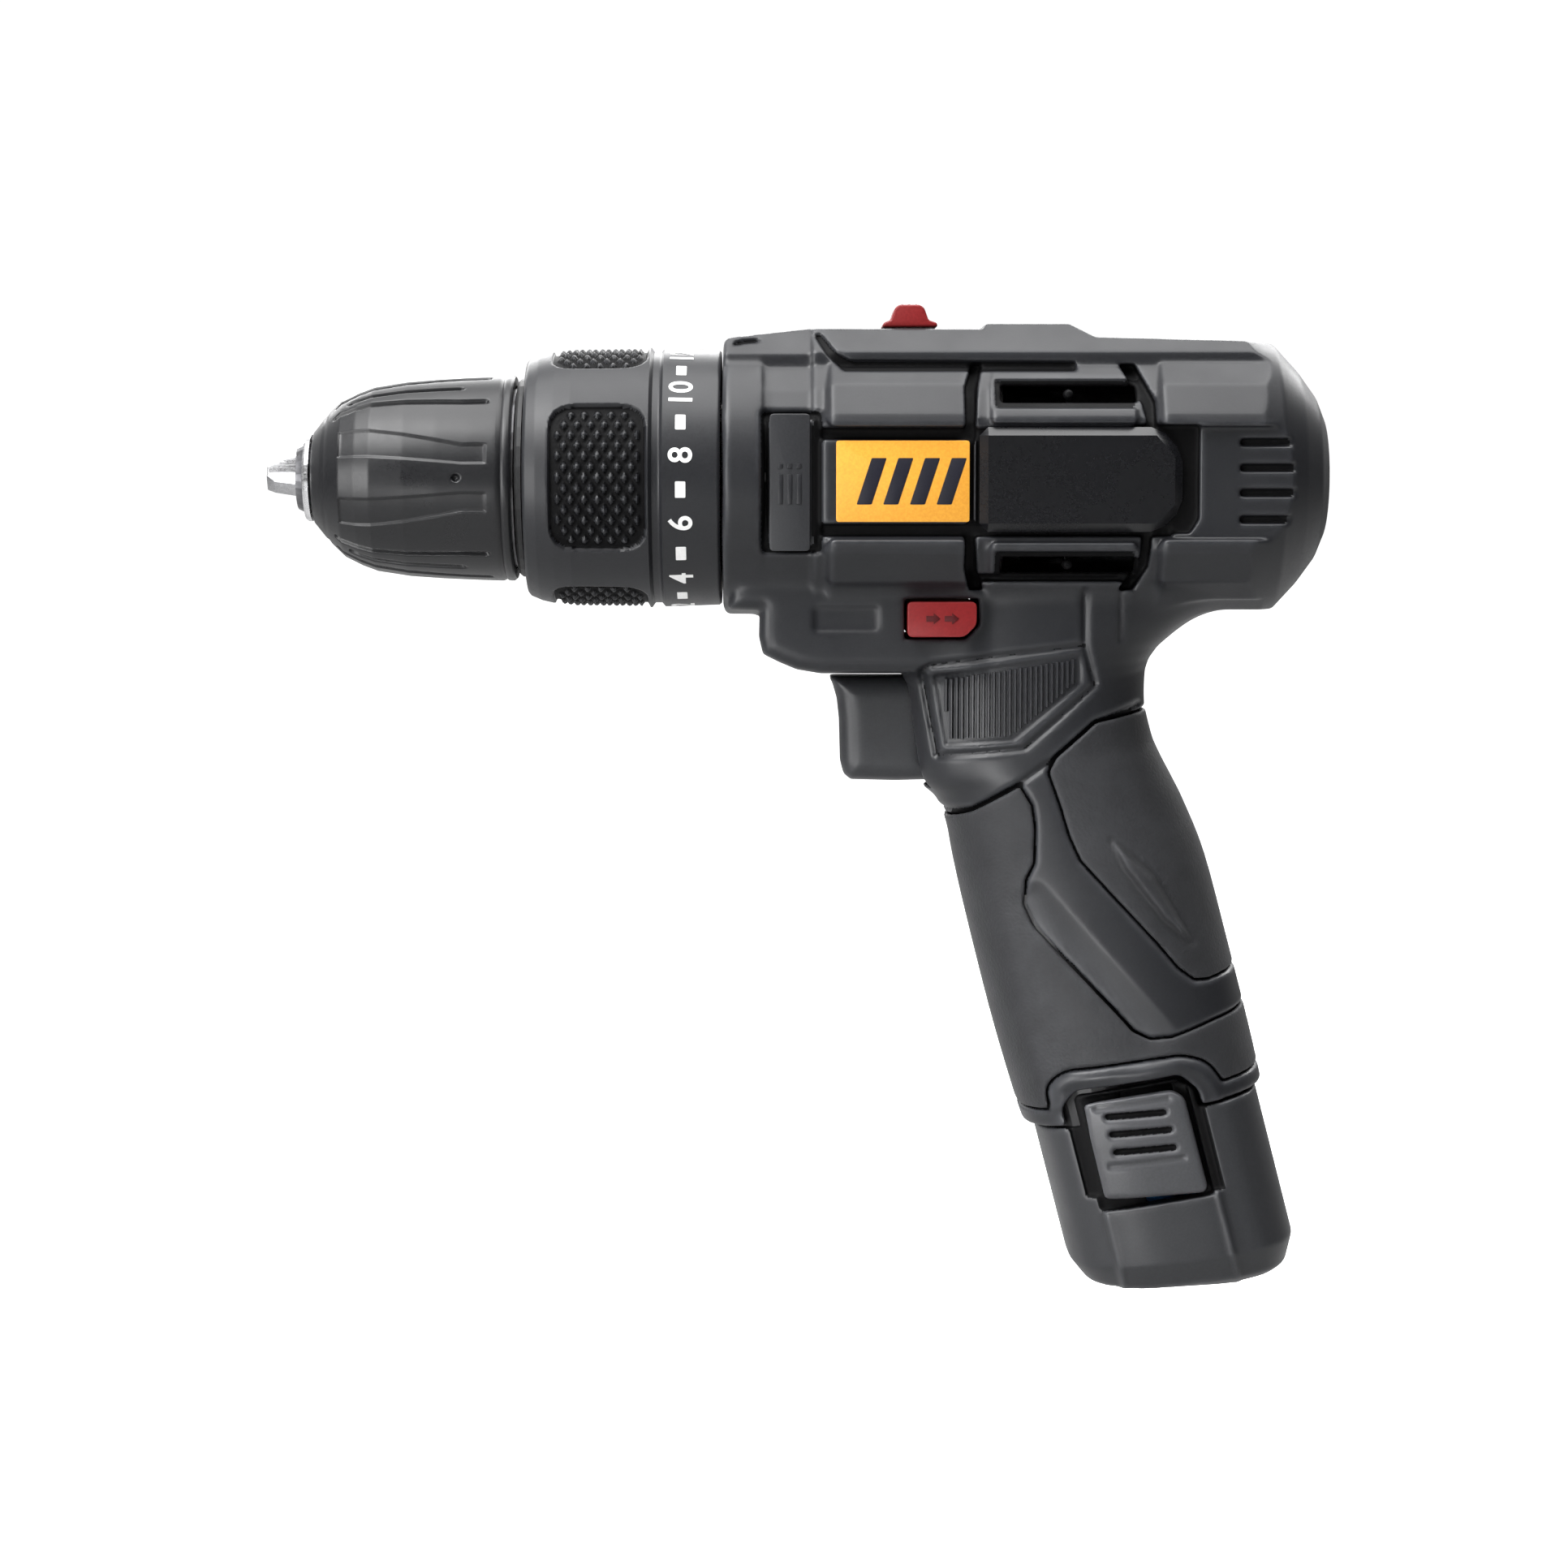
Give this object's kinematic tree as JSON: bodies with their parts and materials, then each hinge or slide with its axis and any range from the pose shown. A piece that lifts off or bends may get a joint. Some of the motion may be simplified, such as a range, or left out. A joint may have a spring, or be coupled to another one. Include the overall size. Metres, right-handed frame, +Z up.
{
  "type": "cordless drill",
  "caption": "Compact cordless drill with a keyless chuck, a numbered clutch collar, a planetary gearbox and a stick battery in the grip.",
  "frame": {"origin": "centre of the flat rear face of the motor housing, on the spindle's axis", "axes": "+X out of the rear face, so the chuck points to -X; +Y to the user's right; +Z up, away from the grip"},
  "size_m": [0.1882, 0.0484, 0.1744],
  "materials": {
    "housing": "moulded charcoal plastic, lightly textured",
    "rubber": "soft black overmould, fine grain",
    "black_plastic": "black plastic",
    "red_plastic": "dark red plastic",
    "amber": "amber printed plate",
    "clear": "clear moulded lens",
    "board": "green circuit board",
    "steel": "ground steel",
    "dark_steel": "blackened steel",
    "sintered": "sintered steel",
    "bronze": "sintered bronze",
    "windings": "laminated steel with copper windings",
    "nylon": "glass-filled nylon",
    "cell": "shrink-wrapped steel can"
  },
  "bodies": {
    "frame": {"housing_left": "housing", "housing_right": "housing", "grip_front_left": "rubber", "grip_front_right": "rubber", "grip_rear_left": "rubber", "grip_rear_right": "rubber", "side_plate_left": "housing", "side_plate_right": "housing", "cover_plate_left": "black_plastic", "cover_plate_right": "black_plastic", "label_plate": "amber", "lamp_lens": "clear", "lamp_board": "board", "switch_module": "black_plastic", "trigger_spring": "steel", "terminal_block": "black_plastic", "gearbox_case": "nylon", "spindle_bush_1": "bronze", "spindle_bush_2": "bronze", "clutch_spring": "steel", "clutch_plate": "dark_steel", "motor_can": "dark_steel", "motor_end_cap": "black_plastic", "housing_screw_1": "dark_steel", "housing_screw_2": "dark_steel", "housing_screw_3": "dark_steel", "housing_screw_4": "dark_steel"},
    "spindle": {"output_spindle": "steel", "chuck_body": "dark_steel", "chuck_nose_ring": "steel", "chuck_rear_ring": "dark_steel", "chuck_screw": "dark_steel"},
    "sleeve": {"chuck_sleeve": "black_plastic"},
    "jaw_1": {"chuck_jaw_1": "steel"},
    "jaw_2": {"chuck_jaw_2": "steel"},
    "jaw_3": {"chuck_jaw_3": "steel"},
    "carrier": {"carrier_1": "sintered"},
    "rotor": {"armature": "windings", "motor_pinion": "steel", "cooling_fan": "black_plastic"},
    "shift_ring": {"shift_ring_gear": "sintered"},
    "selector": {"speed_selector": "red_plastic"},
    "direction": {"direction_button": "red_plastic"},
    "trigger": {"trigger": "housing"},
    "collar": {"clutch_collar": "housing"},
    "nut": {"clutch_adjuster_nut": "nylon"},
    "battery": {"battery_case": "housing", "battery_tower": "black_plastic", "battery_cell_1": "cell", "battery_cell_2": "cell", "battery_cell_3": "cell"},
    "latch_left": {"battery_latch_left": "black_plastic"},
    "latch_right": {"battery_latch_right": "black_plastic"},
    "planet_1_1": {"stage_1_planet_1": "sintered"},
    "planet_1_2": {"stage_1_planet_2": "sintered"},
    "planet_1_3": {"stage_1_planet_3": "sintered"},
    "planet_2_1": {"stage_2_planet_1": "sintered"},
    "planet_2_2": {"stage_2_planet_2": "sintered"},
    "planet_2_3": {"stage_2_planet_3": "sintered"}
  },
  "joints": [
    {"name": "chuck_spin", "type": "hinge", "parent": "frame", "child": "spindle", "pos_m": [0, 0, 0], "axis": [1, 0, 0], "continuous": true},
    {"name": "carrier_spin", "type": "hinge", "parent": "frame", "child": "carrier", "pos_m": [0, 0, 0], "axis": [1, 0, 0], "continuous": true},
    {"name": "rotor_spin", "type": "hinge", "parent": "frame", "child": "rotor", "pos_m": [0, 0, 0], "axis": [1, 0, 0], "continuous": true},
    {"name": "planet_1_1_spin", "type": "hinge", "parent": "carrier", "child": "planet_1_1", "pos_m": [-0.07025, 0.0108, 0], "axis": [1, 0, 0], "continuous": true},
    {"name": "planet_1_2_spin", "type": "hinge", "parent": "carrier", "child": "planet_1_2", "pos_m": [-0.07025, -0.0054, 0.00935], "axis": [1, 0, 0], "continuous": true},
    {"name": "planet_1_3_spin", "type": "hinge", "parent": "carrier", "child": "planet_1_3", "pos_m": [-0.07025, -0.0054, -0.00935], "axis": [1, 0, 0], "continuous": true},
    {"name": "planet_2_1_spin", "type": "hinge", "parent": "spindle", "child": "planet_2_1", "pos_m": [-0.0873, 0.0108, 0], "axis": [1, 0, 0], "continuous": true},
    {"name": "planet_2_2_spin", "type": "hinge", "parent": "spindle", "child": "planet_2_2", "pos_m": [-0.0873, -0.0054, 0.00935], "axis": [1, 0, 0], "continuous": true},
    {"name": "planet_2_3_spin", "type": "hinge", "parent": "spindle", "child": "planet_2_3", "pos_m": [-0.0873, -0.0054, -0.00935], "axis": [1, 0, 0], "continuous": true},
    {"name": "sleeve_turn", "type": "hinge", "parent": "spindle", "child": "sleeve", "pos_m": [0, 0, 0], "axis": [1, 0, 0], "range_deg": [0, 1080]},
    {"name": "jaw_1_slide", "type": "slide", "parent": "spindle", "child": "jaw_1", "axis": [0.9659, 0, 0.2588], "range_m": [0, 0.019]},
    {"name": "jaw_2_slide", "type": "slide", "parent": "spindle", "child": "jaw_2", "axis": [0.9659, -0.2241, -0.1294], "range_m": [0, 0.019]},
    {"name": "jaw_3_slide", "type": "slide", "parent": "spindle", "child": "jaw_3", "axis": [0.9659, 0.2241, -0.1294], "range_m": [0, 0.019]},
    {"name": "collar_turn", "type": "hinge", "parent": "frame", "child": "collar", "pos_m": [0, 0, 0], "axis": [1, 0, 0], "range_deg": [-180, 85]},
    {"name": "nut_slide", "type": "slide", "parent": "frame", "child": "nut", "axis": [1, 0, 0], "range_m": [-0.0034, 0.00162], "deforming": ["clutch_spring"]},
    {"name": "selector_slide", "type": "slide", "parent": "frame", "child": "selector", "axis": [1, 0, 0], "range_m": [0, 0.0075]},
    {"name": "shift_ring_slide", "type": "slide", "parent": "frame", "child": "shift_ring", "axis": [1, 0, 0], "range_m": [0, 0.0075]},
    {"name": "direction_slide", "type": "slide", "parent": "frame", "child": "direction", "axis": [0, 1, 0], "range_m": [-0.003, 0.003]},
    {"name": "trigger_slide", "type": "slide", "parent": "frame", "child": "trigger", "axis": [1, 0, 0], "range_m": [0, 0.007], "stiffness_N_per_m": 800, "springref_m": -0.003, "deforming": ["trigger_spring"]},
    {"name": "battery_slide", "type": "slide", "parent": "frame", "child": "battery", "axis": [0.2504, 0, -0.9681], "range_m": [0, 0.075]},
    {"name": "latch_left_press", "type": "hinge", "parent": "battery", "child": "latch_left", "pos_m": [-0.02785, -0.0212, -0.12443], "axis": [-0.9681, 0, -0.2504], "range_deg": [0, 4], "stiffness_Nm_per_rad": 1, "springref_deg": -1.15},
    {"name": "latch_right_press", "type": "hinge", "parent": "battery", "child": "latch_right", "pos_m": [-0.02785, 0.0212, -0.12443], "axis": [0.9681, 0, 0.2504], "range_deg": [0, 4], "stiffness_Nm_per_rad": 1, "springref_deg": -1.15}
  ],
  "couplings": [
    {"joint": "carrier_spin", "follows": "chuck_spin", "ratio": 4},
    {"joint": "rotor_spin", "follows": "chuck_spin", "ratio": 16},
    {"joint": "planet_1_1_spin", "follows": "chuck_spin", "ratio": -12},
    {"joint": "planet_1_2_spin", "follows": "chuck_spin", "ratio": -12},
    {"joint": "planet_1_3_spin", "follows": "chuck_spin", "ratio": -12},
    {"joint": "planet_2_1_spin", "follows": "chuck_spin", "ratio": -3},
    {"joint": "planet_2_2_spin", "follows": "chuck_spin", "ratio": -3},
    {"joint": "planet_2_3_spin", "follows": "chuck_spin", "ratio": -3},
    {"joint": "jaw_1_slide", "follows": "sleeve_turn", "m_per_rad": 0.0010079},
    {"joint": "jaw_2_slide", "follows": "sleeve_turn", "m_per_rad": 0.0010079},
    {"joint": "jaw_3_slide", "follows": "sleeve_turn", "m_per_rad": 0.0010079},
    {"joint": "nut_slide", "follows": "collar_turn", "m_per_rad": 0.00108},
    {"joint": "shift_ring_slide", "follows": "selector_slide", "ratio": 1}
  ]
}
